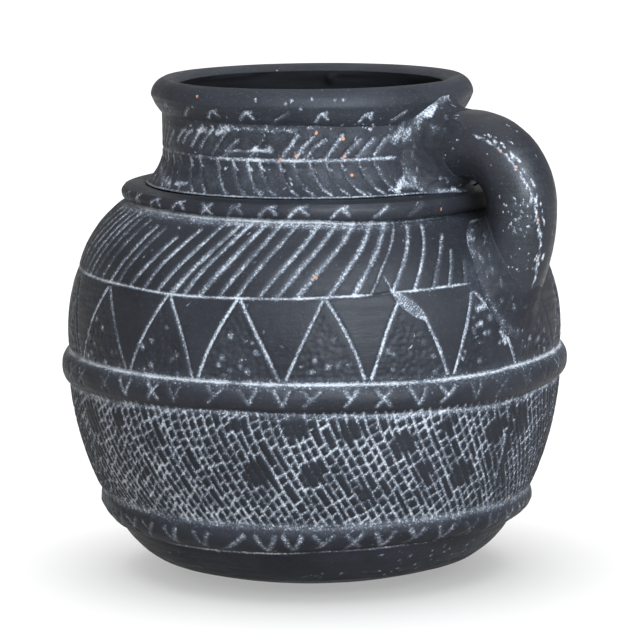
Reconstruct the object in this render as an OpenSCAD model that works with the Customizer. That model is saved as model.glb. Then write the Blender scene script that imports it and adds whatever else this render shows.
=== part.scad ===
// Black clay pot with one handle, built up from courses and applied bands.
// Each module is one piece of clay as the potter makes it. The walls are luted
// edge to edge, and the bands are pressed into shallow seats over those seams.
// Every outline is given as [radius, height] in millimetres. +Z is up, the
// origin is the centre of the resting face, and the handle is on the +X side.

/* [Wall] */
// Thickness of the wall courses
wall = 8; // [7:0.5:9]
// Depth of the seats that the lower and belly bands are pressed into
band_seat = 1.6; // [1:0.1:2]

/* [Foot] */
// Radius of the flat resting face
base_r = 50; // [46:56]
// Radius where the underside turns up into the foot
foot_turn_r = 80; // [76:84]
// Height of that turn
foot_turn_h = 7.5; // [6:0.5:9]
// Radius at the top of the plain foot
foot_top_r = 98.2; // [95:0.1:100]
// Height at the top of the plain foot
foot_top_h = 25.5; // [23:0.1:27]

/* [Body] */
// Radius at the bottom of the hatched course
hatched_bottom_r = 107.4; // [105:0.1:110]
// Height at the bottom of the hatched course
hatched_bottom_h = 41.5; // [40:0.5:44]
// Radius of the wall on both sides of the belly band
belly_r = 122.6; // [121:0.1:124]
// Height of the belly band's lower edge
belly_low_h = 96.5; // [92:0.5:98]
// Height of the belly band's upper edge
belly_top_h = 112; // [110:0.5:116]
// Radius at the seam between triangles and shoulder
seam_r = 117; // [115:0.5:119]
// Height of that seam
seam_h = 151; // [148:154]
// Radius at the collar band's lower edge
collar_r = 93.3; // [92:0.1:95]
// Height of the collar band's lower edge
collar_h = 184.6; // [183:0.1:186]

/* [Neck] */
// Outer radius of the neck
neck_r = 74.5; // [73:0.5:76]
// Radius of the flared lip at the neck's foot
lip_r = 83; // [81:0.5:85]
// Height of that lip
lip_h = 194.2; // [193.8:0.1:195.5]
// Radius of the shoulder's seat under the neck's outer edge
neck_seat_r = 80; // [78:0.5:81]
// Height of that seat
neck_seat_h = 192.2; // [191.5:0.1:192.5]

/* [Rim] */
// Largest radius of the rim
rim_r = 79.8; // [78:0.1:81]
// Height of the rim's lower edge
rim_low_h = 229; // [227:0.5:230]
// Total height
total_h = 246; // [244:248]
// Radius of the mouth at its narrowest
mouth_r = 65.5; // [65:0.5:66]

/* [Handle] */
// Radius of the handle's coil
handle_r = 17; // [15:0.5:17]
// Radius of the tight bend at the handle's top
top_bend_r = 27.5; // [27:0.5:29]
// Distance from the pot's axis to the centre of that bend
top_bend_x = 95; // [94:0.5:97]
// Height of the centre of that bend
top_bend_h = 189; // [187:190]
// Radius of the bend that leads into the neck
neck_bend_r = 44; // [42:46]
// Radius of the long bend that leads down to the shoulder
side_bend_r = 85; // [80:90]

/* [Hidden] */

$fn = 180;
arc_steps = 8;      // straight pieces in each arc of an outline

smooth_clay = [0.22, 0.23, 0.25];
incised_clay = [0.30, 0.31, 0.33];
luting_clay = [0.26, 0.26, 0.28];

// Points of the arc from p to q that stands `bulge` proud of its chord, on the right-hand side.
function arc(p, q, bulge) =
    let (chord = q - p, along = chord / norm(chord), right = [along[1], -along[0]],
         half = 2 * atan(2 * bulge / norm(chord)), r = norm(chord) / (2 * sin(half)),
         centre = (p + q) / 2 - right * r * cos(half))
    [for (i = [0:arc_steps]) let (a = half * (2 * i / arc_steps - 1))
        centre + r * (cos(a) * right + sin(a) * along)];

// The point one wall thickness inside p, where the surface faces `tilt` degrees above level.
function inside(p, tilt) = p - wall * [cos(tilt), sin(tilt)];

function between(p, q, share) = p + (q - p) * share;

function reversed(points) = [for (i = [len(points) - 1:-1:0]) points[i]];

// Outer points where one stretch of wall meets the next, from the base up
base_edge = [base_r, 0];
foot_turn = [foot_turn_r, foot_turn_h];
foot_top = [foot_top_r, foot_top_h];
hatched_bottom = [hatched_bottom_r, hatched_bottom_h];
belly_low = [belly_r, belly_low_h];
belly_top = [belly_r, belly_top_h];
seam = [seam_r, seam_h];
collar_low = [collar_r, collar_h];
neck_seat = [neck_seat_r, neck_seat_h];
lip = [lip_r, lip_h];
neck_waist = [neck_r, 209];
neck_top = [neck_r, rim_low_h];
rim_edge = [rim_r, total_h - 8];
rim_crest = [rim_r - 5.8, total_h];

// How the surface leans at those points, in degrees that it faces above level
base_tilt = -76;
turn_tilt = -61;
foot_tilt = -38;
lower_tilt = -26;
hatched_tilt = -24;
belly_low_tilt = -6;
belly_top_tilt = 2;
seam_tilt = 17;
collar_tilt = 45;

// How far each stretch of wall stands proud of a straight line
underside_bulge = 0.5;
foot_bulge = 1.7;
hatched_bulge = 2.6;
triangle_bulge = 2.4;
shoulder_bulge = 3.8;

// The seats of the two bands that are pressed into the wall, and the seams that they cover
lower_seat_top = hatched_bottom - band_seat * [cos(hatched_tilt), sin(hatched_tilt)];
lower_seam = between(foot_top, lower_seat_top, 0.55);
belly_seat_low = belly_low - [band_seat, 0];
belly_seat_top = belly_top - [band_seat, 0];
belly_seam = between(belly_seat_low, belly_seat_top, 0.5);

// Inner ends of the seams
base_seam_in = inside(base_edge, base_tilt);
lower_seam_in = inside(lower_seam, lower_tilt);
belly_seam_in = [belly_r - wall, belly_seam[1] + 2.5];
seam_in = inside(seam, seam_tilt);
neck_hole_r = mouth_r + 0.5;
neck_seam_in = [neck_hole_r, neck_seat_h - 2.2];
rim_seam_in = [neck_hole_r + 0.5, rim_low_h + 2];

// Outer lines of the courses
underside_line = arc(base_edge, foot_turn, underside_bulge);
foot_line = arc(foot_turn, foot_top, foot_bulge);
hatched_line = arc(hatched_bottom, belly_low, hatched_bulge);
triangle_line = arc(belly_top, seam, triangle_bulge);
shoulder_line = arc(seam, collar_low, shoulder_bulge);
flare_line = arc(lip, neck_waist, -1.6);
rim_lines = concat(arc(neck_top, rim_edge, 0.6), arc(rim_edge, rim_crest, 1.5));

// The handle's centre line is three tangent arcs in the XZ plane
neck_bend_turn = 42;        // degrees of the bend that ends inside the neck
side_bend_turn = 36;        // degrees of the bend that ends in the shoulder
neck_bend_h = top_bend_h + top_bend_r - neck_bend_r;
side_bend_x = top_bend_x + top_bend_r - side_bend_r;

// Luting clay: flat cones round the handle's two roots
upper_root = [75, 211.7];
upper_root_lean = 63;       // degrees from upright to the way that the coil leaves the neck
lower_root = [118.5, 150];
lower_root_lean = 74;       // degrees from upright to the way that the shoulder faces

module ring(outline) {
    rotate_extrude() polygon(outline);
}

module base() {
    color(smooth_clay)
    cylinder(h = base_seam_in[1], r1 = base_r, r2 = base_seam_in[0]);
}

module foot_wall() {
    color(smooth_clay)
    ring(concat(
        underside_line,
        foot_line,
        [lower_seam],
        reversed(concat(
            arc(base_seam_in, inside(foot_turn, turn_tilt), underside_bulge),
            arc(inside(foot_turn, turn_tilt), inside(foot_top, foot_tilt), foot_bulge),
            [lower_seam_in]))));
}

module lower_band() {
    color(smooth_clay)
    ring(concat(
        arc(foot_top, [hatched_bottom_r + 0.4, hatched_bottom_h - 5.5], 2),
        [hatched_bottom, lower_seat_top]));
}

module hatched_wall() {
    color(incised_clay)
    ring(concat(
        [lower_seam, lower_seat_top],
        hatched_line,
        [belly_seat_low, belly_seam, belly_seam_in],
        reversed(concat(
            [lower_seam_in],
            arc(inside(hatched_bottom, hatched_tilt), inside(belly_low, belly_low_tilt), hatched_bulge)))));
}

module belly_band() {
    color(incised_clay)
    ring(concat([belly_seat_low], arc(belly_low, belly_top, 3.6), [belly_seat_top]));
}

module triangle_wall() {
    color(incised_clay)
    ring(concat(
        [belly_seam, belly_seat_top],
        triangle_line,
        reversed(concat(
            [belly_seam_in],
            arc(inside(belly_top, belly_top_tilt), seam_in, triangle_bulge)))));
}

module shoulder_wall() {
    color(incised_clay)
    ring(concat(
        shoulder_line,
        [neck_seat, neck_seam_in, neck_seam_in - [0, 2.5]],
        reversed(arc(seam_in, inside(collar_low, collar_tilt), shoulder_bulge))));
}

module collar_band() {
    color(incised_clay)
    ring(concat(
        arc(collar_low, [collar_r + 1.6, collar_h + 6.2], 1),
        arc([collar_r + 0.4, collar_h + 8], [lip_r + 1.6, lip_h - 0.4], 0.5),
        [neck_seat]));
}

module neck() {
    color(incised_clay)
    ring(concat(
        [neck_seat],
        flare_line,
        [neck_top, rim_seam_in, [neck_hole_r + 1, neck_waist[1]], neck_seam_in]));
}

module rim() {
    color(incised_clay)
    ring(concat(
        rim_lines,
        arc(rim_crest, [mouth_r, total_h - 3.5], 0.8),
        arc([mouth_r - 0.1, total_h - 5], rim_seam_in, -0.3)));
}

// Everything inside the pot's outer surface above the belly band, for cutting the handle's roots
module envelope() {
    rotate([0, 0, 180]) ring(concat(
        [[0, belly_top_h]],
        triangle_line,
        shoulder_line,
        [neck_seat],
        flare_line,
        rim_lines,
        [[0, total_h]]));
}

// One bend of the handle's coil in the XZ plane: centre, bend radius, first angle and turn
module bend(centre, r, start, turn) {
    translate([centre[0], 0, centre[1]]) rotate([90, 0, 0]) rotate([0, 0, start])
        rotate_extrude(angle = turn) translate([r, 0]) circle(r = handle_r);
}

module coil() {
    bend([top_bend_x, neck_bend_h], neck_bend_r, 90, neck_bend_turn);
    bend([top_bend_x, top_bend_h], top_bend_r, 0, 90);
    bend([side_bend_x, top_bend_h], side_bend_r, 0, -side_bend_turn);
}

module handle() {
    color(smooth_clay)
    difference() {
        coil();
        envelope();
    }
}

// A flat cone of luting clay on a root, with the coil and the pot cut away from it
module luting(root, lean, depth, height, root_r, top_r) {
    difference() {
        translate([root[0], 0, root[1]]) rotate([0, lean, 0])
            translate([0, 0, -depth]) cylinder(h = height, r1 = root_r, r2 = top_r);
        coil();
        envelope();
    }
}

module handle_upper_seat() {
    color(luting_clay) luting(upper_root, upper_root_lean, 8, 18, 26, 14);
}

module handle_lower_seat() {
    color(luting_clay) luting(lower_root, lower_root_lean, 5, 13, 26, 11);
}

base();
foot_wall();
lower_band();
hatched_wall();
belly_band();
triangle_wall();
shoulder_wall();
collar_band();
neck();
rim();
handle();
handle_upper_seat();
handle_lower_seat();
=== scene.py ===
"""Looks of the black clay pot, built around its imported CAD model.

Each CAD node, one piece of the potter's clay, is replaced by a dense mesh that
keeps its outline and adds what the hand and the tools left: wandering edges,
incised lines, pits, chips and smears. Lengths here are millimetres until a mesh
is made. Angles are degrees round the pot, counted from its front, which is the
side turned to the camera, and growing towards the handle.
"""
import math

import bpy
import numpy as np
from mathutils import Matrix, Vector


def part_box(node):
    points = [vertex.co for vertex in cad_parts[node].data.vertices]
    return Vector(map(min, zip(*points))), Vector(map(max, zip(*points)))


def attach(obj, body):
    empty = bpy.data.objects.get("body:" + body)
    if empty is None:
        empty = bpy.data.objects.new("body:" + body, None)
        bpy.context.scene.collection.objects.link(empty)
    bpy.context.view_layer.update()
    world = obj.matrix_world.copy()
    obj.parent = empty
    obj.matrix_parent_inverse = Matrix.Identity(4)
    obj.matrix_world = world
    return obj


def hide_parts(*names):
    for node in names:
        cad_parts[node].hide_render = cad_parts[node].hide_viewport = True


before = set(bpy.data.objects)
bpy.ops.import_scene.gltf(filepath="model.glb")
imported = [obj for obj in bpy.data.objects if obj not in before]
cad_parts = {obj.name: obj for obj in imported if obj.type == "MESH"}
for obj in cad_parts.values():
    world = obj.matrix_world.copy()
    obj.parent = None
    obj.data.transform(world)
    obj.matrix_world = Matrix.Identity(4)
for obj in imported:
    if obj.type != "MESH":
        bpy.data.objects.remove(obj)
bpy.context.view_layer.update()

MM = 0.001
FRONT = -55              # direction of the pot's front in the frame, where the handle is at 0
HANDLE = 55              # the handle's angle from the front
RINGS = ["foot_wall", "lower_band", "hatched_wall", "belly_band", "triangle_wall",
         "shoulder_wall", "collar_band", "neck", "rim"]
TILED = 4                # a ring's texture is cut into this many strips, laid side by side
COLUMNS = 960


# ---------------------------------------------------------------- numbers

def smoothstep(low, high, value):
    t = np.clip((value - low) / (high - low), 0, 1)
    return t * t * (3 - 2 * t)


def lattice(cells, seed):
    """A repeatable number from -1 to 1 for each whole-number cell."""
    c = cells.astype(np.int64)
    n = (c[..., 0] * 73856093) ^ (c[..., 1] * 19349663) ^ (c[..., 2] * 83492791) ^ (seed * 2654435761)
    n = (n ^ (n >> 13)) * 1274126177 & 0x7FFFFFFF
    n = (n ^ (n >> 16)) * 668265263 & 0x7FFFFFFF
    return (n & 0xFFFFF) / float(0xFFFFF) * 2 - 1


def noise(points, size, seed):
    """Smooth noise from -1 to 1 at each point, with lumps about `size` wide."""
    p = np.asarray(points) / size
    low = np.floor(p)
    t = p - low
    t = t * t * (3 - 2 * t)
    total = 0
    for corner in range(8):
        step = np.array([corner & 1, corner >> 1 & 1, corner >> 2])
        weight = np.prod(np.where(step == 1, t, 1 - t), axis=-1)
        total = total + weight * lattice(low + step, seed)
    return total


def wrap(angle):
    """The same angle, from -180 to 180 degrees."""
    return (angle + 180) % 360 - 180


def round_curve(angle, knots):
    """A smooth closed curve through (angle, value) knots, read at each angle."""
    at = np.array([k[0] for k in knots], float)
    at = np.concatenate([at - 360, at, at + 360])
    value = np.tile([float(k[1]) for k in knots], 3)
    a = wrap(np.asarray(angle, float))
    i = np.clip(np.searchsorted(at, a, side="right") - 1, 0, len(at) - 2)
    t = (a - at[i]) / (at[i + 1] - at[i])
    t = t * t * (3 - 2 * t)
    return value[i] * (1 - t) + value[i + 1] * t


def unit(vectors):
    """The same vectors, with a length of 1."""
    return vectors / np.linalg.norm(vectors, axis=-1)[..., None]


def even_angles(count):
    """That many angles, evenly spread all the way round."""
    return np.arange(count) * 360 / count


def lengths_along(points):
    """How far along a line of points each of them lies."""
    return np.concatenate([[0], np.cumsum(np.linalg.norm(np.diff(points, axis=0), axis=1))])


def resample(fine, spacing):
    """The same curve as points about `spacing` apart."""
    along = lengths_along(fine)
    at = np.linspace(0, along[-1], max(1, round(along[-1] / spacing)) + 1)
    return np.column_stack([np.interp(at, along, column) for column in fine.T])


def spline(points, steps=12):
    """A smooth curve through the points."""
    points = np.array(points, float)
    p = np.vstack([2 * points[0] - points[1], points, 2 * points[-1] - points[-2]])
    t = np.linspace(0, 1, steps, endpoint=False)[:, None]
    parts = []
    for a, b, c, d in zip(p, p[1:], p[2:], p[3:]):
        parts.append(0.5 * (2 * b + (c - a) * t + (2 * a - 5 * b + 4 * c - d) * t ** 2
                            + (3 * b - a - 3 * c + d) * t ** 3))
    return np.vstack(parts + [points[-1:]])


def add_object(name, data):
    thing = bpy.data.objects.new(name, data)
    bpy.context.scene.collection.objects.link(thing)
    return thing


def place(angle, radius, height):
    """Frame position of a point given by its angle from the front, radius and height."""
    turn = np.radians(np.asarray(angle) + FRONT)
    return np.stack(np.broadcast_arrays(radius * np.cos(turn), radius * np.sin(turn), height), -1)


# ---------------------------------------------------------------- outlines, from the CAD meshes

SHARP_TURN = 26          # an outline that turns by more than this has a corner there


def cad_outline(node):
    """A ring's closed (radius, height) outline, anticlockwise, from its mesh edges on the +X half-plane."""
    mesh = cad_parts[node].data
    co = np.array([v.co for v in mesh.vertices]) / MM
    key = [(round(x, 2), round(z, 2)) for x, _, z in co]
    joined = {}
    for a, b in mesh.edge_keys:
        on_plane = max(abs(co[a][1]), abs(co[b][1])) < 1e-3 and min(co[a][0], co[b][0]) > 0
        if on_plane and key[a] != key[b]:
            joined.setdefault(key[a], set()).add(key[b])
            joined.setdefault(key[b], set()).add(key[a])
    start = min(joined)
    loop = [start]
    previous, here = start, min(joined[start])
    while here != start:
        loop.append(here)
        previous, here = here, next(p for p in joined[here] if p != previous)
    loop = np.array(loop)
    after = np.roll(loop, -1, 0)
    area = (loop[:, 0] * after[:, 1] - after[:, 0] * loop[:, 1]).sum()
    return loop if area > 0 else loop[::-1]


def turns(loop):
    into = loop - np.roll(loop, 1, 0)
    out = np.roll(loop, -1, 0) - loop
    cross = into[:, 0] * out[:, 1] - into[:, 1] * out[:, 0]
    return np.degrees(np.abs(np.arctan2(cross, (into * out).sum(1))))


OUTLINES = {node: cad_outline(node) for node in RINGS}
BASE_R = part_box("base")[1][0] / MM


def off_outline(points, loop):
    """Distance of each point from a closed outline."""
    a, b = loop, np.roll(loop, -1, 0)
    along = b - a
    t = np.einsum("pij,ij->pi", points[:, None] - a, along) / (along ** 2).sum(1)
    near = a + np.clip(t, 0, 1)[..., None] * along
    return np.linalg.norm(points[:, None] - near, axis=2).min(1)


def touches_neighbour(node, stretch):
    """True if this stretch of a ring's outline lies against other pieces."""
    inside = resample(stretch, 2.5)
    inside = (inside[:-1] + inside[1:]) / 2
    others = np.array([off_outline(inside, OUTLINES[n]) for n in RINGS if n != node])
    on_base = inside[:, 0] <= BASE_R
    return bool(((others.min(0) < 0.1) | on_base).all())


def section(node, fine, coarse):
    """Rows round one ring's outline: their (radius, height), their kind, and which are corners."""
    loop = OUTLINES[node]
    corners = np.flatnonzero(turns(loop) > SHARP_TURN)
    rows, kinds, sharp = [], [], []
    for start, end in zip(corners, np.roll(corners, -1)):
        count = (end - start) % len(loop)
        stretch = loop[np.arange(start, start + count + 1) % len(loop)]
        run = stretch[-1] - stretch[0]
        facing_out = run[1] / np.hypot(*run)
        if touches_neighbour(node, stretch):
            kind, spacing = "joint", 4
        elif facing_out < -0.5:
            kind, spacing = "inner", coarse
        elif run[1] < -1:
            kind, spacing = "lip", fine
        else:
            kind, spacing = "outer", fine
        points = resample(spline(stretch), spacing)[:-1]
        sharp.append(len(kinds))
        rows.append(points)
        kinds += [kind] * len(points)
    return np.vstack(rows), np.array(kinds), sharp


def outer_face():
    """Heights, radii and lengths along the whole pot's outer face, a little apart."""
    step = 0.25
    top = max(loop[:, 1].max() for loop in OUTLINES.values())
    height = np.arange(0, top + step / 2, step)
    radius = np.zeros(len(height))
    for loop in OUTLINES.values():
        dense = resample(np.vstack([loop, loop[:1]]), step / 4)
        np.maximum.at(radius, np.round(dense[:, 1] / step).astype(int), dense[:, 0])
    length = np.concatenate([[0], np.cumsum(np.hypot(np.diff(radius), np.diff(height)))])
    return height, radius, length


FACE_H, FACE_R, FACE_L = outer_face()


def face_length(height):
    return np.interp(height, FACE_H, FACE_L)


def face_height(length):
    return np.interp(length, FACE_L, FACE_H)


def face_radius(height):
    return np.interp(height, FACE_H, FACE_R)


# ---------------------------------------------------------------- how the hand strayed

def low(node):
    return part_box(node)[0][2] / MM


def high(node):
    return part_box(node)[1][2] / MM


# Each level line of the pot: its CAD height, and how far it strays from it round the pot.
LEVELS = {
    "ground": (0, [(0, 0)]),
    "band_foot": (low("lower_band"), [(-160, 0.3), (-90, -0.4), (-30, -0.5), (-10, -0.2), (5, 1), (27, 1.8),
                                      (50, 1.3), (110, 0)]),
    "band_top": (high("lower_band"), [(-150, 0.5), (-90, -0.3), (-60, -0.6), (-38, -2), (0, -2.6), (25, -2),
                                      (55, -1.8), (110, -0.2)]),
    "belly_low": (low("belly_band"), [(-140, 0.6), (-72, -0.5), (-40, 0.5), (-20, 1.5), (0, 0.5), (20, -0.5),
                                      (45, -1.5), (68, 1.3), (110, 0.2)]),
    "belly_top": (high("belly_band"), [(-150, 0.5), (-70, 0), (-30, -0.5), (0, -1), (25, -1.7), (42, -1.4),
                                       (52, -0.4), (75, 0.4)]),
    "seam": (high("triangle_wall"), [(-120, 1), (-72, 2), (-58, 1.5), (-30, -0.3), (-8, 0), (10, 1),
                                     (22, 2.1), (38, 3), (60, 2), (110, 0.3)]),
    "collar": (low("collar_band"), [(-130, 0.4), (-70, 1.9), (-48, 1.4), (-30, 0.7), (0, 0.1), (11, -1.1),
                                    (20, -1.6), (50, -1), (90, 0.5)]),
    "lip": (high("collar_band"), [(-120, 0.3), (0, 0.2), (90, -0.2)]),
    "rim": (low("rim"), [(-120, 0.4), (-60, 0), (0, -0.5), (15, -1.5), (35, -1.8), (80, -0.6)]),
    "top": (high("rim"), [(0, 0)]),
}


def stray(angle, height):
    """How far up a point of the pot has strayed, from the level lines above and below it."""
    levels = np.array([level for level, _ in LEVELS.values()])
    strays = np.array([round_curve(angle, knots) for _, knots in LEVELS.values()])
    i = np.clip(np.searchsorted(levels, height) - 1, 0, len(levels) - 2)
    t = np.clip((height - levels[i]) / (levels[i + 1] - levels[i]), 0, 1)
    column = np.arange(strays.shape[1])
    return strays[i, column] * (1 - t) + strays[i + 1, column] * t


def wobble(points):
    """How far out the hand's unevenness moves a wall."""
    return 0.3 * noise(points, 70, 1) + 0.16 * noise(points, 24, 2) + 0.05 * noise(points, 8, 3)


def level_line(name, offset, step=5):
    """(angle, height) points along one of the level lines."""
    height, knots = LEVELS[name]
    angles = np.arange(-180, 180 + step / 2, step)
    return list(zip(angles, height + offset + round_curve(angles, knots)))


# ---------------------------------------------------------------- marks

class Mark:
    """A stroke, dent or stain, as a path of (angle, length along the face) with a half width.

    depth is how deep it cuts, or stands proud if negative. chalk is the pale dust caught
    in it, haze a thin film of the same dust round it, and chip bare orange clay. `along`
    scales chalk and haze by the angle.
    """

    def __init__(self, path, half=0.75, depth=0.0, chalk=0.0, haze=0.0, chip=0.0, along=None):
        path = np.array(path, float).reshape(-1, 2)
        self.path = spline(path, 4) if 2 < len(path) < 12 else path
        self.half, self.depth, self.chalk, self.haze, self.chip = half, depth, chalk, haze, chip
        self.along = along
        self.reach = 2.6 * half

    def gap(self, turn, length, radius):
        """Distance to the path of points at these angles from its middle."""
        x, y = np.radians(turn) * radius, length
        path = self.path if len(self.path) > 1 else np.vstack([self.path, self.path + [0, 1e-3]])
        turns_at = np.radians(path[:, 0] - self.middle)
        best = np.full(len(x), np.inf)
        for i in range(len(path) - 1):
            ax, ay = turns_at[i] * radius, path[i, 1]
            dx, dy = turns_at[i + 1] * radius - ax, path[i + 1, 1] - ay
            t = np.clip(((x - ax) * dx + (y - ay) * dy) / (dx * dx + dy * dy), 0, 1)
            best = np.minimum(best, (x - ax - t * dx) ** 2 + (y - ay - t * dy) ** 2)
        return np.sqrt(best)

    @property
    def middle(self):
        return (self.path[:, 0].min() + self.path[:, 0].max()) / 2

    def near(self, angle, length, radius):
        """The points that the mark may reach, and their angles from its middle."""
        index = np.flatnonzero((length > self.path[:, 1].min() - self.reach)
                               & (length < self.path[:, 1].max() + self.reach))
        turn = wrap(angle[index] - self.middle)
        width = np.ptp(self.path[:, 0]) / 2 + np.degrees(self.reach / radius[index])
        keep = np.abs(turn) < width
        return index[keep], turn[keep]


def on_wall(points):
    """(angle, height) points as (angle, length along the outer face)."""
    return [(angle, face_length(height)) for angle, height in points]


def wall_mark(points, **looks):
    return Mark(on_wall(points), **looks)


def read_marks(marks, angle, length, radius):
    """What the marks leave at each point: its cut in mm, and its chalk, haze and chip from 0 to about 1."""
    cut, chalk, haze, chip, bump = (np.zeros(len(angle)) for _ in range(5))
    for mark in marks:
        index, turn = mark.near(angle, length, radius)
        if not len(index):
            continue
        gap = mark.gap(turn, length[index], radius[index])
        scale = 1.0 if mark.along is None else round_curve(angle[index], mark.along)
        edge = np.clip(1 - gap / (2 * mark.half), 0, 1)
        round_cut = np.exp(-(gap / mark.half) ** 2)
        if mark.depth >= 0:
            cut[index] += (mark.depth * round_cut) ** 3
        else:
            bump[index] = np.maximum(bump[index], -mark.depth * round_cut)
        chalk[index] += (scale * mark.chalk * edge) ** 3
        haze[index] = np.maximum(haze[index], scale * mark.haze * np.exp(-(gap / mark.half) ** 2 / 2))
        chip[index] = np.maximum(chip[index], mark.chip * edge)
    return {"cut": np.cbrt(cut) - bump, "chalk": np.cbrt(chalk), "haze": haze, "chip": chip}


# ---------------------------------------------------------------- the decoration

def dice(seed):
    return np.random.default_rng(seed)


NECK_LINE = 211.7        # height of the line scored round the neck


def level_marks():
    """The pale lines along creases and edges, and the two lines scored round the neck."""
    hidden_by_handle = [(-60, 1), (10, 1), (15, 0.3), (24, 0.9), (38, 1), (42, 0), (66, 0), (72, 0.8),
                        (180, 0.9)]
    collar = [(-160, 0.8), (-75, 0.8), (-50, 1), (10, 1), (20, 0.8), (27, 0.5), (45, 0.35), (80, 0.5),
              (120, 0.9)]
    neck = [(-85, 0.8), (-60, 0.35), (-42, 0.5), (-36, 1), (28, 1), (34, 0.2), (72, 0.2), (85, 0.9)]
    front = [(-60, 0.2), (-30, 1), (20, 1), (40, 0.3), (150, 0.5)]
    second = [(-33, 215), (-29, 216), (-25, 215.8), (-22, 216.6), (-15, 216)]
    scored = [(angle, NECK_LINE) for angle in range(-180, 181, 6)]
    return [
        wall_mark(level_line("belly_top", 0.1), half=0.85, depth=0.5, chalk=1.3, haze=0.6),
        wall_mark(level_line("belly_top", -0.3), half=2.6, chalk=0.5, haze=0.7),
        wall_mark(level_line("belly_low", -0.9), half=1.5, depth=0.2, chalk=0.65, haze=0.6),
        wall_mark(level_line("band_top", 0.3), half=2.0, depth=0.3, chalk=0.6, haze=0.8),
        wall_mark(level_line("band_foot", -0.4), half=0.5, chalk=1.1, haze=0.6, along=front),
        wall_mark(level_line("seam", 0, step=4), half=0.55, depth=0.7, chalk=1.2, haze=0.35,
                  along=hidden_by_handle),
        wall_mark(level_line("collar", 0), half=1.0, depth=0.4, chalk=1.15, haze=0.8, along=collar),
        wall_mark(level_line("collar", -1.6), half=2.2, chalk=0.62, haze=0.8, along=collar),
        wall_mark(level_line("lip", 0.7), half=0.55, chalk=0.8, haze=0.5),
        wall_mark(scored, half=0.8, depth=0.5, chalk=1.05, haze=0.5, along=neck),
        wall_mark(second, half=0.8, depth=0.3, chalk=0.9, haze=0.5),
    ]


def shoulder_strokes():
    """The long slanting strokes from the seam up to the collar band."""
    rng = dice(11)
    front = [-73, -69.5, -66.7, -62, -57.3, -54, -49, -44, -39.5, -35, -31.5, -27.3, -22.3, -18, -12.8, -8.5,
             -4, 3.2, 9.3, 13.5, 18.5, 24, 29, 33.5, 38]
    behind = np.arange(76, 284, 4.6) + rng.uniform(-0.9, 0.9, 46)
    lean = [(-160, 11), (-73, 9), (-58, 9), (-48, 10), (-38, 14), (-18, 13.5), (-4, 16), (3, 14), (10, 11.5),
            (20, 9.3), (29, 7.5), (33.5, 3.5), (38, 1.5), (80, 8), (120, 11)]
    top = [(-160, 183), (-73, 184), (-60, 182), (-54, 179), (-49, 176), (-44, 180), (-38, 184), (9, 183),
           (18, 182), (24, 182), (29, 177), (33.5, 170), (38, 164), (80, 178), (110, 183)]
    foot_strays = [(-70, 0.8), (-30, -0.6), (-4, -1.6), (20, 0.4), (34, 1.2), (120, 0)]
    marks = []
    for angle in [*front, *behind]:
        foot = 152.8 + round_curve(angle, foot_strays)
        tip = round_curve(angle, top) + rng.uniform(-0.8, 0.8)
        sweep = round_curve(angle, lean)
        bow = rng.uniform(-0.5, 1.1)
        points = [(angle, foot), (angle + 0.33 * sweep - 0.5 * bow, foot + 0.36 * (tip - foot)),
                  (angle + 0.68 * sweep - 0.4 * bow, foot + 0.7 * (tip - foot)), (angle + sweep, tip)]
        faint = 0.75 if angle in (-66.7, -62, -54, 29, 38) else 1.12
        marks.append(wall_mark(points, half=rng.uniform(1.0, 1.3) - 0.35 * (12 < angle < 40), depth=0.8,
                               chalk=0.67 * faint, haze=0.45))
    return marks


TOOTH_FOOT, TOOTH_TIP = 113, 150         # heights
SCARRED_TOOTH, SCARRED_TIP = 20, 148     # angle and height of the one whose right leg is the scar
TEETH = [-57, -36, -17.5, 2.5, 20, 40, 62] + [62 + 20.08 * k for k in range(1, 12)]
FEET = [-68, -47, -27.6, -7.2, 11.8, 32, 53, 72.5]


def tooth_feet(i):
    """The angles at which the tooth with that number stands, on its left and on its right."""
    if i + 1 < len(FEET):
        return FEET[i], FEET[i + 1]
    left = FEET[-1] + 20.0 * (i + 1 - len(FEET))
    return left, FEET[0] + 360 if i + 1 == len(TEETH) else left + 20.0


def zigzag():
    """The row of pointed teeth between belly band and seam."""
    rng = dice(12)
    marks = []
    for i, apex in enumerate(TEETH):
        left, right = tooth_feet(i)
        behind_handle = 42 < apex < 70
        for side, foot in ((-1, left + 0.9), (1, right - 0.7)):
            if side == 1 and apex == SCARRED_TOOTH:
                continue
            bow = rng.uniform(0.2, 1.3) * (1 if side > 0 else -0.4)
            tip = SCARRED_TIP if apex == SCARRED_TOOTH else TOOTH_TIP
            points = [(apex + 0.5 * side, tip), (apex + 0.36 * (foot - apex) + bow, 138.5),
                      (apex + 0.68 * (foot - apex) + bow, 126), (foot, 113.2)]
            strength = 0.55 if behind_handle else rng.uniform(0.95, 1.15)
            marks.append(wall_mark(points, half=0.68, depth=0.9, chalk=strength, haze=0.4))
    return marks


def scar():
    """The right leg of the scarred tooth, scratched in again and again."""
    leg = [(26, 139.5), (27.8, 131), (29.5, 122), (31, 113)]
    marks = [wall_mark(leg, half=0.7, depth=0.7, chalk=1, haze=0.3)]
    for spread in (-1.1, -0.5, 0, 0.6, 1.3):
        points = [(18.3 + 0.2 * spread, 154.5), (21 + spread, 148.5 + 0.8 * spread),
                  (24 + 0.8 * spread, 143 + spread), (26 + 0.3 * spread, 139.5)]
        marks.append(wall_mark(points, half=0.45, depth=0.5, chalk=0.75, haze=0.4))
    marks.append(wall_mark([(17, 160), (18.3, 154.5)], half=0.4, depth=0.3, chalk=0.9))
    return marks


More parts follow.
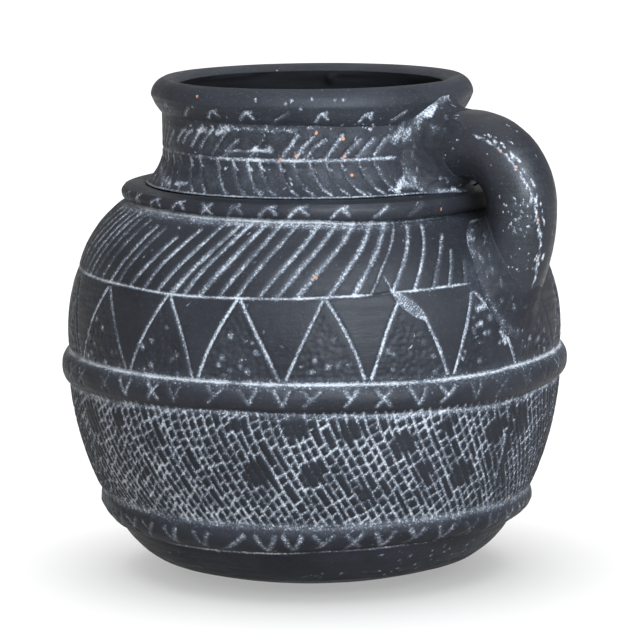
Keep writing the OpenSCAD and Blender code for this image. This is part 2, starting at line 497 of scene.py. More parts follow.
def pecks():
    """The shallow dimples pecked inside each tooth."""
    rng = dice(13)
    marks = []
    pitch = 3.1
    for i, apex in enumerate(TEETH):
        left, right = tooth_feet(i)
        for height in np.arange(114.5, 144, pitch * 0.87):
            share = (height - TOOTH_FOOT) / (TOOTH_TIP - TOOTH_FOOT)
            start = left + 1.6 + share * (apex - left)
            end = right - 1.6 + share * (apex - right)
            for angle in np.arange(start, end, np.degrees(pitch / face_radius(height))):
                spot = [(angle + rng.uniform(-0.45, 0.45), height + rng.uniform(-0.9, 0.9))]
                pale = rng.uniform(0.45, 0.85) if rng.random() < 0.12 else 0
                marks.append(wall_mark(spot, half=rng.uniform(1, 1.6), depth=rng.uniform(0.3, 0.85),
                                       chalk=pale, haze=0.1))
    return marks


def pressed_mark(angle, foot, tip, kind, rng, lean, **looks):
    """One small mark of a tool, made of one or two strokes that cross or meet. It spells nothing."""
    a, b = lean * rng.uniform(0.85, 1.2), rng.uniform(-0.3, 0.3)
    middle = (foot + tip) / 2
    strokes = {
        "V": [[(angle - a, tip), (angle + b, foot)], [(angle + a, tip + b), (angle + b, foot)]],
        "X": [[(angle - a, tip), (angle + a, foot + b)], [(angle - a, foot), (angle + a, tip)]],
        "Y": [[(angle - a, tip), (angle - 0.2 * a, middle)], [(angle - a, foot), (angle + a, tip)]],
        "L": [[(angle - 1.5 * a, foot), (angle - 0.4 * a, middle + 1), (angle + 1.2 * a, tip)],
              [(angle + 0.2 * a, tip - 0.5), (angle + 1.4 * a, foot + 1)]],
        "/": [[(angle - 1.4 * a, foot), (angle + 1.4 * a, tip)]],
    }[kind]
    return [wall_mark(points, **looks) for points in strokes]


def pressed_row(front, step, foot, tip, seed, kinds, lean, half, level):
    """A band's row of small pressed marks: those seen in front, then more all the way round."""
    rng = dice(seed)
    last = front[-1][0]
    behind = np.arange(last + step, front[0][0] + 360 - step / 2, step)
    rest = [(angle + rng.uniform(-1, 1), rng.choice(list(kinds)), rng.uniform(0.7, 1.05))
            for angle in behind]
    marks = []
    for angle, kind, strength in [*front, *rest]:
        up = float(stray(np.array([angle]), np.array([level]))[0])
        marks += pressed_mark(angle, foot + up, tip + up, kind, rng, lean, half=half, depth=0.5,
                              chalk=0.68 * strength, haze=0.35)
    return marks


def pressed_marks():
    """The rows of small marks on the four bands. Each is (angle, kind, how pale)."""
    belly = [(-54, "X", 0.7), (-46.5, "V", 0.95), (-38, "X", 1.05), (-32, "V", 0.65), (-22, "Y", 0.85),
             (-14.5, "V", 0.9), (-7, "V", 0.9), (-0.5, "Y", 0.9), (8, "Y", 1.05), (15, "X", 1.05),
             (23, "V", 1), (30.5, "Y", 1), (38, "V", 0.6), (46, "X", 0.55), (55, "V", 0.5), (63, "V", 0.6),
             (72, "Y", 0.8)]
    collar = [(-43, "L", 0.95), (-32.5, "X", 1.1), (-23, "L", 0.75), (-13, "L", 1.05), (-4, "L", 1),
              (8, "L", 1.1), (20, "/", 1.05), (31, "/", 0.45), (80, "X", 0.6)]
    rim = [(-67, "L", 0.95), (-52, "/", 1.05), (-38, "L", 0.95), (-24, "L", 1.15), (-11, "/", 1.15),
           (3.5, "L", 1.05), (19.5, "L", 1.05), (32.5, "/", 1), (76, "/", 0.8)]
    lower = [(-58, "X", 0.8), (-50, "Y", 0.8), (-41, "V", 1), (-31, "V", 0.9), (-22, "/", 1.05),
             (-13, "V", 0.9), (-6, "V", 0.9), (2, "Y", 0.85), (10, "X", 0.9), (18, "V", 0.9),
             (27, "Y", 0.8), (36, "V", 0.75), (45, "X", 0.6), (54, "V", 0.6)]
    return (pressed_row(belly, 7.7, 101.5, 108.5, 21, "VXY", 1.6, 0.95, 105)
            + pressed_row(collar, 9.8, 187.2, 191.8, 22, "LX", 1.6, 0.95, 189)
            + pressed_row(rim, 13.5, 231.2, 235.4, 23, "L/", 1.6, 0.9, 233)
            + pressed_row(lower, 8.6, 28.0, 35.8, 24, "VXY", 2.1, 1.25, 32))


def speck(rng, spot, across, up, half, depth, chalk):
    """A tiny scratch from the spot, with its run, half width and chalk drawn from these ranges."""
    end = (spot[0] + rng.uniform(0, across), spot[1] + rng.uniform(-up, up))
    return wall_mark([spot, end], half=rng.uniform(*half), depth=depth, chalk=rng.uniform(*chalk))


def neck_strokes():
    """Two rows of short slanting strokes, like a herringbone, above and below the neck's line."""
    rng = dice(14)
    upper = [-62.5, -58, -52, -46.5, -40.5, -35, -24, -11.5, -6, -1.5, 5, 11.5, 17, 23.5]
    upper += list(np.arange(78, 294, 6.0) + rng.uniform(-0.8, 0.8, 36))
    marks = []
    for angle in upper:
        foot, tip = 212.8 + rng.uniform(0, 1.6), 222.2 + rng.uniform(-1.2, 2)
        if angle < -44:
            foot, tip = foot + 3.5, tip + 2.5
        points = [(angle, foot), (angle + 2.2, foot + 3.6), (angle + 6.3, tip)]
        strength = {-24: 0.55, -40.5: 0.75, -46.5: 0.85}.get(angle, rng.uniform(0.9, 1.15))
        marks.append(wall_mark(points, half=1.1, depth=0.7, chalk=0.72 * strength, haze=0.5))
    lower = [-53, -47, -38, -31, -25, -20, -12.5, -7, -1, 5, 10.5, 17.5, 23.5, *np.arange(80, 300, 6.1)]
    for angle in lower:
        points = [(angle, 210.8), (angle + 1.5, 205), (angle + 4, 199.5), (angle + 7, 196)]
        marks.append(wall_mark(points, half=1.05, depth=0.5, chalk=rng.uniform(0.3, 0.55), haze=0.5))
        knots = [(angle, 210.5), (angle + 0.8, 208), (angle + 2, 207)]
        marks.append(wall_mark(knots, half=0.7, chalk=rng.uniform(0.5, 0.95), haze=0.2))
        tail = [(angle + 5, 198), (angle + 7.5, 195.8)]
        marks.append(wall_mark(tail, half=0.7, chalk=rng.uniform(0.4, 0.9)))
    for angle in range(-180, 180, 7):
        for height in (200, 208, 216, 223):
            spot = [(angle + rng.uniform(-3, 3), height + rng.uniform(-3, 3))]
            marks.append(wall_mark(spot, half=rng.uniform(3, 6), haze=rng.uniform(0.3, 0.65)))
    for _ in range(420):
        spot = (rng.uniform(-180, 180), rng.choice([rng.uniform(196, 228), rng.uniform(225, 229), 212]))
        marks.append(speck(rng, spot, 1, 1, (0.25, 0.5), 0.2, (0.6, 1.05)))
    marks.append(wall_mark([(-78, 203), (-70, 199), (-62, 197.5)], half=2.2, chalk=0.6, haze=0.8))
    marks.append(wall_mark([(-36, 227), (-20, 226.5), (-6, 226.5)], half=1.4, chalk=0.5, haze=0.5))
    return marks


HATCHED_R = 118          # about the radius of the hatched wall

# The blank patches seen in front: (angle, height, half width, half height).
CALM = [(-14, 67, 7, 7), (-4.5, 90, 7, 6), (-1, 67, 6, 7), (8, 88, 5, 5), (20, 82, 6, 6), (37, 62, 7, 7),
        (46, 82, 7, 7), (51.5, 70, 2.5, 30), (56, 84, 6, 10), (-65, 85, 7, 8), (-65, 67, 6, 4),
        (-18, 91, 4, 3.5), (27, 68, 4, 4), (31, 88, 4, 4), (12, 56, 4, 4), (-52, 87, 4, 4)]


def calm(angle, height):
    """How blank each point of the hatched wall is: the hatching misses a patch here and there."""
    rng = dice(15)
    behind = [(rng.uniform(66, 288), rng.uniform(52, 90), rng.uniform(5, 10), rng.uniform(4, 9))
              for _ in range(26)]
    blank = np.zeros(len(angle))
    for a, h, across, up in CALM + behind:
        x = np.radians(wrap(angle - a)) * HATCHED_R
        blank = np.maximum(blank, np.exp(-((x / across) ** 2 + ((height - h) / up) ** 2) ** 1.5))
    ragged = noise(place(angle, face_radius(height), height), 7, 18)
    return smoothstep(0.3, 0.75, blank + 0.25 * ragged)


def net():
    """The hatching of the lower belly: steep curved strokes, with short rungs from each to the next."""
    rng = dice(16)
    bottom, top, count = 40.5, 97.5, 164
    heights = (top, 88, 78, 68, 58, 48, bottom)
    dust = [(-80, 1.2), (-35, 1.15), (-10, 1.0), (30, 1.0), (50, 0.85), (100, 1.0)]

    def stroke_angle(i, height, jitter=0.0):
        share = max(top - height, 0) / (top - bottom)
        sweep = 14.5 + 1.6 * math.sin(math.radians(3 * i * 360 / count))
        return i * 360 / count + drift[i % count] + sweep * share ** 1.3 + jitter

    drift = rng.uniform(-0.35, 0.35, count)
    marks = []
    for i in range(count):
        worn = round_curve(stroke_angle(i, 70), dust)
        points = [(stroke_angle(i, h, rng.uniform(-0.25, 0.25)), h) for h in heights]
        marks.append(wall_mark(points, half=0.55, depth=0.85, chalk=worn * rng.uniform(0.75, 1.02),
                               haze=0.08))
        height = bottom + rng.uniform(0, 4)
        while height < top - 3:
            rise = rng.uniform(1.8, 3.4)
            left, right = stroke_angle(i, height), stroke_angle(i + 1, height + rise)
            if i == count - 1:
                right += 360 * (right < 180)
            blank = float(calm(np.array([left]), np.array([height + rise / 2]))[0])
            if blank < 0.4:
                points = [(left, height), ((left + right) / 2, height + 0.55 * rise), (right, height + rise)]
                marks.append(wall_mark(points, half=rng.uniform(0.45, 0.7), depth=0.8,
                                       chalk=worn * rng.uniform(0.65, 1.02), haze=0.08))
            height += rng.choice([rng.uniform(3.5, 5.0), rng.uniform(8, 14)], p=[0.88, 0.12])
    return marks


def stains():
    """Dust rubbed round the handle's roots, knocks that show orange clay, and small white chips."""
    # Each is (points, half width, depth, chalk, haze).
    rubbed = [
        ([(30, 196), (33, 200), (37, 203)], 1.2, 0, 0.9, 0.8),
        ([(33, 199), (41, 198), (50, 196), (56, 196)], 2.2, 0, 0.95, 0.9),
        ([(32, 221), (36, 225), (42, 229), (48, 231)], 2.4, 0, 0.85, 0.9),
        ([(45, 231), (52, 232), (58, 231)], 1.6, 0, 0.8, 0.8),
        ([(-48, 224), (-44, 225)], 1.3, 0, 0.7, 0.7), ([(-38, 224), (-33, 226)], 1.5, 0, 0.75, 0.7),
        ([(-57, 198), (-51, 198.5)], 1.2, 0, 0.8, 0.6), ([(-16, 217)], 1.7, 0, 1.2, 0.5),
        ([(-22, 216.6)], 1.2, 0, 1.1, 0.4), ([(47, 130), (48.5, 124)], 1.1, 0.3, 1.05, 0),
        ([(41, 135)], 1.4, 0, 1, 0), ([(42, 130)], 1.2, 0, 0.95, 0), ([(44, 137)], 1.8, 0, 0.8, 0.5),
        ([(40.5, 142), (43, 143)], 1.6, 0, 0.9, 0.6), ([(40, 150), (42, 160)], 4.5, 0, 0, 0.4),
        ([(50, 57), (50, 78)], 0.8, 0.3, 0.8, 0), ([(-29, 24.5)], 1.1, 0, 1, 0),
    ]
    marks = [wall_mark(points, half=half, depth=depth, chalk=chalk, haze=haze)
             for points, half, depth, chalk, haze in rubbed]
    terracotta = [(1.5, 225), (-6, 214), (-12, 212), (11.5, 222), (12, 213.5), (14.5, 204.5), (-44.5, 241.5)]
    marks += [wall_mark([spot], half=0.8, depth=0.3, chalk=0.3, chip=1) for spot in terracotta]
    chips = [(-9, 239.5), (-7, 241), (-4, 237), (8, 241), (11, 241), (2, 12.5), (8, 12.5), (26, 18),
             (29, 20), (27, 13), (33, 14), (35, 11), (52, 20), (51, 14), (-34, 207)]
    marks += [wall_mark([spot], half=0.75, depth=0.35, chalk=1.05) for spot in chips]
    rng = dice(18)
    for _ in range(46):
        spot = (rng.uniform(18, 66), rng.uniform(7, 23))
        marks.append(speck(rng, spot, 0.6, 0.5, (0.3, 0.6), 0.3, (0.7, 1.1)))
    for _ in range(34):
        angle, height, long = rng.uniform(-180, 180), rng.uniform(7, 24), rng.uniform(2, 7)
        bow = rng.uniform(-1.5, 1.5)
        points = [(angle, height), (angle + long / 2, height + bow), (angle + long, height + 0.4 * bow)]
        marks.append(wall_mark(points, half=0.4, depth=0.2, chalk=rng.uniform(0.4, 0.65), haze=0.2))
    return marks


def knocks():
    """Small chips all over, a few of them through to orange clay."""
    rng = dice(17)
    marks = []
    for _ in range(260):
        angle, length = rng.uniform(-180, 180), rng.uniform(30, FACE_L[-1])
        orange = rng.random() < 0.03
        size = rng.uniform(0.25, 0.5)
        far = rng.uniform(-1, 1, 2) * [0.9, 1.6]
        marks.append(Mark([(angle, length), (angle + far[0], length + far[1])], half=size, depth=0.4 * size,
                          chalk=0 if orange else rng.uniform(0.6, 1.1), chip=1.1 if orange else 0))
    return marks


# ---------------------------------------------------------------- meshes

def grid_faces(rows, columns, closed):
    """Quads of a grid whose columns go round, and whose rows do too if it is closed."""
    i = np.arange(rows if closed else rows - 1)[:, None]
    j = np.arange(columns)[None]
    after_i, after_j = (i + 1) % rows, (j + 1) % columns
    corners = (i * columns + j, i * columns + after_j, after_i * columns + after_j, after_i * columns + j)
    return np.stack(np.broadcast_arrays(*corners), -1).reshape(-1, 4)


def grid_uv(heights, columns, tiles):
    """Texture places of the quads' corners. The columns are cut into strips laid side by side."""
    rows = len(heights) - 1
    strip = columns // tiles
    j = np.arange(columns)
    u = np.stack([j % strip, j % strip + 1, j % strip + 1, j % strip]) / strip
    u = np.broadcast_to(u.T[None], (rows, columns, 4))
    v = np.stack([heights[:-1], heights[:-1], heights[1:], heights[1:]], -1)[:, None]
    v = (j // strip)[None, :, None] + 0.01 + 0.96 * v
    return np.stack(np.broadcast_arrays(u, v / tiles), -1).reshape(-1, 2)


def build(name, points, closed=True, tiles=1, row_heights=None, sharp=(), looks=None):
    """A mesh object from a grid of points in millimetres, with its looks as attributes of its points."""
    rows, columns, _ = points.shape
    co = points.reshape(-1, 3)
    quads = grid_faces(rows, columns, closed)
    corner = co[quads]
    volume = np.einsum("ij,ij->", corner[:, 0], np.cross(corner[:, 1], corner[:, 2]))
    if row_heights is None:
        row_heights = np.linspace(0, 1, rows + closed)
    uv = grid_uv(row_heights, columns, tiles)
    ends = [] if closed else [np.arange(columns)[::-1], np.arange(columns) + (rows - 1) * columns]
    if volume < 0:
        quads, uv = quads[:, ::-1], uv.reshape(-1, 4, 2)[:, ::-1].reshape(-1, 2)
        ends = [end[::-1] for end in ends]
    loops = np.concatenate([quads.ravel(), *ends])
    starts = np.concatenate([np.arange(len(quads)) * 4, len(quads) * 4 + np.arange(len(ends)) * columns])
    end_uv = np.full((len(ends) * columns, 2), 0.995)
    mesh = bpy.data.meshes.new(name)
    mesh.vertices.add(len(co))
    mesh.vertices.foreach_set("co", (co * MM).ravel())
    mesh.loops.add(len(loops))
    mesh.loops.foreach_set("vertex_index", loops)
    mesh.polygons.add(len(starts))
    mesh.polygons.foreach_set("loop_start", starts)
    mesh.update(calc_edges=True)
    layer = mesh.uv_layers.new(name="OFBake")
    layer.data.foreach_set("uv", np.vstack([uv, end_uv]).ravel())
    for key, values in (looks or {}).items():
        mesh.attributes.new(key, "FLOAT", "POINT").data.foreach_set("value", values.ravel())
    mesh.shade_smooth()
    edges = np.empty(len(mesh.edges) * 2, int)
    mesh.edges.foreach_get("vertices", edges)
    row = edges.reshape(-1, 2) // columns
    crease = (row[:, 0] == row[:, 1]) & np.isin(row[:, 0], sharp)
    mesh.attributes.new("sharp_edge", "BOOLEAN", "EDGE").data.foreach_set("value", crease)
    mesh.validate()
    return add_object(name, mesh)


def texture_rows(outline, weight):
    """How high each row of a closed outline lies in the texture, from 0 to 1, by length times weight."""
    lengths = np.linalg.norm(np.roll(outline, -1, 0) - outline, axis=1) * weight
    return np.concatenate([[0], np.cumsum(lengths)]) / lengths.sum()


def outward(outline):
    run = np.roll(outline, -1, 0) - np.roll(outline, 1, 0)
    return unit(np.column_stack([run[:, 1], -run[:, 0]]))


def ring(node, marks, fine, coarse, lumps, blank):
    """One course of the pot: its CAD outline turned round the axis, with strays, wobble and marks.

    fine and coarse space its rows outside and inside, lumps is how uneven it is, and blank tells
    where its marks fade.
    """
    outline, kinds, sharp = section(node, fine, coarse)
    angle = even_angles(COLUMNS)
    grid_angle = np.broadcast_to(angle, (len(outline), COLUMNS))
    radius = np.broadcast_to(outline[:, :1], grid_angle.shape)
    cad_height = np.broadcast_to(outline[:, 1:], grid_angle.shape)
    height = cad_height + stray(angle, cad_height)
    at_rest = place(grid_angle, radius, cad_height)
    length = face_length(height)
    seen = np.isin(kinds, ["outer", "lip"])
    seen |= np.roll(seen, 1)
    seen &= kinds != "inner"
    looks = {}
    flat = read_marks(marks, grid_angle[seen].ravel(), length[seen].ravel(), radius[seen].ravel())
    for key, values in flat.items():
        looks[key] = np.zeros(grid_angle.shape)
        looks[key][seen] = values.reshape(-1, COLUMNS)
    cut = looks.pop("cut")
    if blank is not None:
        kept = 1 - 0.72 * blank(grid_angle.ravel(), height.ravel()).reshape(cut.shape)
        cut = cut * kept
        looks["chalk"] = looks["chalk"] * kept
    uneven = 0.3 * noise(at_rest, 9, 4) + 0.2 * noise(at_rest, 3.5, 10)
    looks["chalk"] = looks["chalk"] * (0.95 + uneven)
    rise = np.zeros(len(outline))
    rise[seen] = np.sin(np.pi * np.linspace(0, 1, seen.sum())) ** 0.7
    out = lumps * rise[:, None] * (noise(at_rest, 17, 5) + 0.4 * noise(at_rest, 7, 6)) - cut
    stretched = at_rest * [0.12, 0.12, 1]
    out = out + np.where(seen, 0.07, 0.0)[:, None] * noise(stretched, 2.2, 7)
    inner = (kinds == "inner")[:, None]
    out = out + inner * (0.45 * noise(stretched, 2.3, 8) + 0.25 * noise(at_rest, 11, 9))
    drip_angle, drip_height, drip_size = 172, 239, 2.6
    drip_gap = np.hypot(wrap(grid_angle - drip_angle) * 1.2, height - drip_height)
    out = out + inner * 2.2 * np.exp(-(drip_gap / drip_size) ** 2)
    # Painted shade in the crook between handle and wall, where the handle's shadow falls: the colour goes
    # near-black and the chalk is dimmed.
    crook_angle, crook_height = 58, 184
    across = (wrap(grid_angle) - crook_angle) / 13
    crook_shade = np.exp(-across ** 2 - ((height - crook_height) / 20) ** 2)
    # Painted shade: every inner row is fully shaded, and the crook by the handle partly.
    looks["painted_shade"] = np.where(inner, 1.0, crook_shade)
    looks["chalk"] = looks["chalk"] * (1 - 0.6 * crook_shade)
    way = outward(outline)
    way[sharp] = [1, 0]
    radius = radius + wobble(at_rest) + out * way[:, :1]
    height = height + out * way[:, 1:]
    weight = np.select([seen, kinds == "inner"], [1.0, 0.35], 0.12)
    piece = build(node + "_clay", place(grid_angle, radius, height), tiles=TILED,
                  row_heights=texture_rows(outline, weight), sharp=sharp, looks=looks)
    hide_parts(node)
    return piece


# ---------------------------------------------------------------- materials

class Graph:
    """A material's node tree, built call by call."""

    def __init__(self, name):
        self.material = bpy.data.materials.new(name)
        self.material.use_nodes = True
        self.tree = self.material.node_tree
        self.shader = self.tree.nodes["Principled BSDF"]
        self.place = self.add("ShaderNodeTexCoord").outputs["Object"]

    def add(self, kind, **settings):
        node = self.tree.nodes.new(kind)
        for key, value in settings.items():
            setattr(node, key, value)
        return node

    def feed(self, socket, value):
        """Links an output to the socket, or sets a number or colour on it."""
        if isinstance(value, bpy.types.NodeSocket):
            self.tree.links.new(value, socket)
        else:
            socket.default_value = value

    def attribute(self, name):
        return self.add("ShaderNodeAttribute", attribute_name=name).outputs["Fac"]

    def math(self, operation, a, b=0.0, c=0.0):
        node = self.add("ShaderNodeMath", operation=operation)
        for socket, value in zip(node.inputs, (a, b, c)):
            self.feed(socket, value)
        return node.outputs[0]

    def grain(self, size, detail=2.0, stretch=(1, 1, 1), roughness=0.55):
        """Noise from 0 to 1 with lumps about `size` millimetres wide, stretched along the axes."""
        mapping = self.add("ShaderNodeMapping")
        self.feed(mapping.inputs["Vector"], self.place)
        mapping.inputs["Scale"].default_value = stretch
        node = self.add("ShaderNodeTexNoise")
        self.feed(node.inputs["Vector"], mapping.outputs[0])
        node.inputs["Scale"].default_value = 1 / (size * MM)
        node.inputs["Detail"].default_value = detail
        node.inputs["Roughness"].default_value = roughness
        return node.outputs["Fac"]

    def step(self, low, high, value, to_low=0.0, to_high=1.0):
        """A soft step from to_low to to_high as the value passes from low to high."""
        node = self.add("ShaderNodeMapRange", interpolation_type="SMOOTHSTEP")
        for key, number in (("Value", value), ("From Min", low), ("From Max", high), ("To Min", to_low),
                            ("To Max", to_high)):
            self.feed(node.inputs[key], number)
        return node.outputs[0]

    def mix(self, share, a, b):
        node = self.add("ShaderNodeMix", data_type="RGBA")
        self.feed(node.inputs[0], share)
        self.feed(node.inputs[6], (*a, 1) if isinstance(a, tuple) else a)
        self.feed(node.inputs[7], (*b, 1) if isinstance(b, tuple) else b)
        return node.outputs[2]

    def bump(self, height, strength, distance, normal=None):
        node = self.add("ShaderNodeBump")
        self.feed(node.inputs["Height"], height)
        node.inputs["Strength"].default_value = strength
        node.inputs["Distance"].default_value = distance * MM
        if normal is not None:
            self.feed(node.inputs["Normal"], normal)
        return node.outputs[0]


BLACK = (0.0052, 0.0052, 0.0063)
GREY = (0.0095, 0.0098, 0.012)
# Near-black painted shade, for the inside of the pot and the crook by the handle.
PAINTED_SHADE_COLOUR = (0.0014, 0.0015, 0.002)
FILM = (0.078, 0.088, 0.106)
CHALK = (0.255, 0.262, 0.268)
TERRACOTTA = (0.26, 0.115, 0.06)


def clay(name, film=1.0, specks=0.0, gloss=0.5, shine=0.11, tone=1.0, relief=1.0, dusty=0.12):
    """Black fired clay with pale dust in its cuts.

    film scales the haze round the cuts, dusty is the haze all over, specks adds stray dots, tone
    scales the black, and relief the bumps. gloss is the roughness, and shine the specular level.
    """
    black, grey = (tuple(tone * c for c in colour) for colour in (BLACK, GREY))
    g = Graph(name)
    broad, patch = g.grain(28, 3), g.grain(6, 4)
    fine, crumb = g.grain(1.1, 3, roughness=0.7), g.grain(0.45, 2)
    streak = g.grain(2.0, 3, stretch=(0.1, 0.1, 1))
    ragged = g.math("SUBTRACT", g.math("MULTIPLY_ADD", crumb, 0.7, fine), 0.85)
    chalk = g.attribute("chalk")
    filled = g.step(0.55, 1.05, g.math("MULTIPLY_ADD", ragged, 2.4, chalk))
    thin = g.step(0.1, 0.8, g.math("MULTIPLY_ADD", ragged, 0.5, chalk), 0.0, 0.75)
    hazy = g.math("MULTIPLY", g.attribute("haze"), g.step(0.35, 0.7, patch, 0.3, 1.0))
    hazy = g.math("MULTIPLY", hazy, g.step(-0.25, 0.25, ragged, 0.12 * film, 0.65 * film))
    dotted = g.step(0.75 - specks, 0.85 - specks, crumb, 0.0, 0.4)
    dotted = g.math("MULTIPLY", dotted, g.step(0.5, 0.62, patch))
    colour = g.mix(g.step(0.32, 0.68, broad), black, grey)
    colour = g.mix(g.step(0.35, 0.8, streak, 0.0, 0.35), colour, grey)
    colour = g.mix(g.step(0.02, 0.3, ragged, 0.25 * dusty, dusty), colour, FILM)
    colour = g.mix(g.math("MAXIMUM", thin, hazy), colour, FILM)
    colour = g.mix(g.math("MAXIMUM", filled, dotted), colour, CHALK)
    # Painted shade: the inside of the pot and the crook by the handle are coloured near-black here, and made
    # rougher below.
    painted_shade = g.attribute("painted_shade")
    colour = g.mix(painted_shade, colour, PAINTED_SHADE_COLOUR)
    orange = g.step(0.4, 0.6, g.math("MULTIPLY_ADD", ragged, 0.5, g.attribute("chip")))
    colour = g.mix(orange, colour, TERRACOTTA)
    dust = g.math("MAXIMUM", g.math("MAXIMUM", filled, thin), hazy)
    g.feed(g.shader.inputs["Base Color"], colour)
    rubbed = g.step(0.3, 0.7, streak, gloss - 0.07, gloss + 0.06)
    rough = g.math("ADD", rubbed, g.step(0.3, 0.7, fine, -0.04, 0.05))
    matt = g.math("MAXIMUM", g.math("MULTIPLY", dust, 0.92), g.math("MULTIPLY", painted_shade, 0.8))
    rough = g.math("MAXIMUM", rough, matt)
    g.feed(g.shader.inputs["Roughness"], rough)
    g.shader.inputs["Specular IOR Level"].default_value = shine
    normal = g.bump(crumb, 0.45 * relief, 0.22)
    normal = g.bump(fine, 0.4 * relief, 0.4, normal)
    normal = g.bump(patch, 0.4 * relief, 0.8, normal)
    normal = g.bump(streak, 0.5 * relief, 0.35, normal)
    g.feed(g.shader.inputs["Normal"], g.bump(filled, 0.25, 0.12, normal))
    return g.material


def floor_material():
    g = Graph("pale_floor")
    tone = g.step(0.3, 0.7, g.grain(400, 2))
    g.feed(g.shader.inputs["Base Color"], g.mix(tone, (0.93, 0.93, 0.93), (0.95, 0.95, 0.95)))
    g.shader.inputs["Roughness"].default_value = 0.8
    return g.material


# ---------------------------------------------------------------- the handle and its seats

def corner(node):
    """A node's highest corner, in millimetres."""
    return [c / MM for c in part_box(node)[1]]


COIL_R = corner("handle")[1]
CREST_X = corner("handle")[0] - COIL_R
CREST_Z = corner("handle")[2] - COIL_R
TOP_BEND, NECK_BEND, SIDE_BEND = 27.5, 44, 85       # radii of the coil's three bends
NECK_TURN, SIDE_TURN = 42, 36                       # how far the first and last bend turn
COIL_STEP = 0.25                                    # between the points of the coil's line
COIL_COLUMNS = 192


def bend(centre_x, centre_z, radius, start, end):
    """An arc in the plane of the handle, as (x, z) points."""
    turn = np.radians(np.linspace(start, end, int(abs(math.radians(end - start)) * radius / COIL_STEP)))
    return np.column_stack([centre_x + radius * np.cos(turn), centre_z + radius * np.sin(turn)])


def coil_line():
    """The coil's centre line from the neck to the shoulder, as (x, z) points, and its length at each."""
    middle_x, middle_z = CREST_X - TOP_BEND, CREST_Z - TOP_BEND
    line = np.vstack([bend(middle_x, CREST_Z - NECK_BEND, NECK_BEND, 90 + NECK_TURN, 90)[:-1],
                      bend(middle_x, middle_z, TOP_BEND, 90, 0)[:-1],
                      bend(CREST_X - SIDE_BEND, middle_z, SIDE_BEND, 0, -SIDE_TURN)])
    return line, lengths_along(line)


def coil_points(radius):
    """Points of the coil's skin: one row for each point of its line, angle 0 outermost, 90 at the front."""
    line, _ = coil_line()
    run = unit(np.gradient(line, axis=0))
    turn = np.radians(even_angles(COIL_COLUMNS))
    out = radius * np.cos(turn)
    x = line[:, :1] - run[:, 1:] * out
    z = line[:, 1:] + run[:, :1] * out
    return np.stack([x, np.broadcast_to(-radius * np.sin(turn), x.shape), z], -1)


def coil_ends(skin, depth):
    """For each line along the coil, the first and last row that is out of the wall, or up to depth in it."""
    clear = np.hypot(skin[..., 0], skin[..., 1]) > face_radius(skin[..., 2]) - depth
    return clear.argmax(0), len(skin) - 1 - clear[::-1].argmax(0)


def pick_rows(skin, rows):
    """The skin's points at fractional row numbers, one column at a time."""
    column = np.broadcast_to(np.arange(skin.shape[1]), rows.shape)
    low_row = np.clip(np.floor(rows).astype(int), 0, len(skin) - 2)
    t = (rows - low_row)[..., None]
    return skin[low_row, column] * (1 - t) + skin[low_row + 1, column] * t


def handle_marks():
    """The broken seam of pale dust down the coil's back, and the patches, specks and chips round it."""
    rng = dice(31)
    seam = [(62, 40), (56, 55), (45, 66), (32, 78), (22, 90), (16, 104), (13, 120), (12, 136)]
    marks = [Mark(seam, half=0.5, depth=0.3, chalk=0.45, haze=0.5)]

    def fleck(turn, length, long, size, pale, chip=0.0):
        lean = rng.uniform(-0.5, 0.5)
        end = (turn + np.degrees(long * math.sin(lean) / COIL_R), length + long * math.cos(lean))
        marks.append(Mark([(turn, length), end], half=size, depth=0.3 * size, chalk=pale, chip=chip))

    for _ in range(90):
        i = rng.uniform(0, len(seam) - 1.01)
        a, b = seam[int(i)], seam[int(i) + 1]
        turn, length = (a[k] + (b[k] - a[k]) * (i % 1) for k in (0, 1))
        beside = rng.choice([0.0, -9.0], p=[0.7, 0.3]) + rng.normal(0, 1.6)
        fleck(turn + beside, length, rng.uniform(0.4, 2.4), rng.uniform(0.3, 0.55), rng.uniform(0.75, 1.15))
    for turn, length in ((57, 52), (50, 60), (30, 80), (19, 97), (14, 112)):
        fleck(turn, length, 0.5, 0.45, 0.3, chip=0.9)
    # Each is (angle, length along the coil, spread round it, spread along it, how many, smeared).
    patches = [(66, 79, 9, 4, 44, True), (56, 100, 14, 9, 14, False), (45, 26, 10, 3, 24, True),
               (80, 22, 20, 8, 30, False), (70, 60, 40, 30, 20, False)]
    for turn, length, wide, high, count, smeared in patches:
        if smeared:
            marks.append(Mark([(turn, length - 3), (turn, length + 3)], half=3.5, haze=0.4))
        for _ in range(count):
            fleck(rng.normal(turn, wide), rng.normal(length, high), rng.uniform(0, 0.9),
                  rng.uniform(0.22, 0.42), rng.uniform(0.6, 1.1))
    for _ in range(45):
        fleck(rng.uniform(0, 360), rng.uniform(5, 150), rng.uniform(0, 1.2), rng.uniform(0.22, 0.5),
              rng.uniform(0.6, 1.1))
    return marks


def handle():
    """The coil, with its ends sunk in the wall."""
    skin = coil_points(COIL_R)
    first, last = coil_ends(skin, 2.5)
    share = np.linspace(0, 1, 240)[:, None]
    rows = first + share * (last - first)
    points = pick_rows(skin, rows)
    line, length = coil_line()
    lengths = np.interp(rows, np.arange(len(length)), length)
    turn = np.broadcast_to(even_angles(COIL_COLUMNS), rows.shape)
    looks = read_marks(handle_marks(), turn.ravel(), lengths.ravel(), np.full(rows.size, COIL_R))
    looks = {key: values.reshape(rows.shape) for key, values in looks.items()}
    cut = looks.pop("cut")
    middle = np.stack([np.interp(lengths, length, line[:, 0]), np.zeros(rows.shape),
                       np.interp(lengths, length, line[:, 1])], -1)
    way = (points - middle) / COIL_R
    out = 0.35 * noise(points, 22, 41) + 0.12 * noise(points, 7, 42) + 0.04 * noise(points, 2.5, 43) - cut
    piece = build("handle_coil", points + out[..., None] * way, closed=False, looks=looks)
    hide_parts("handle")
    return piece


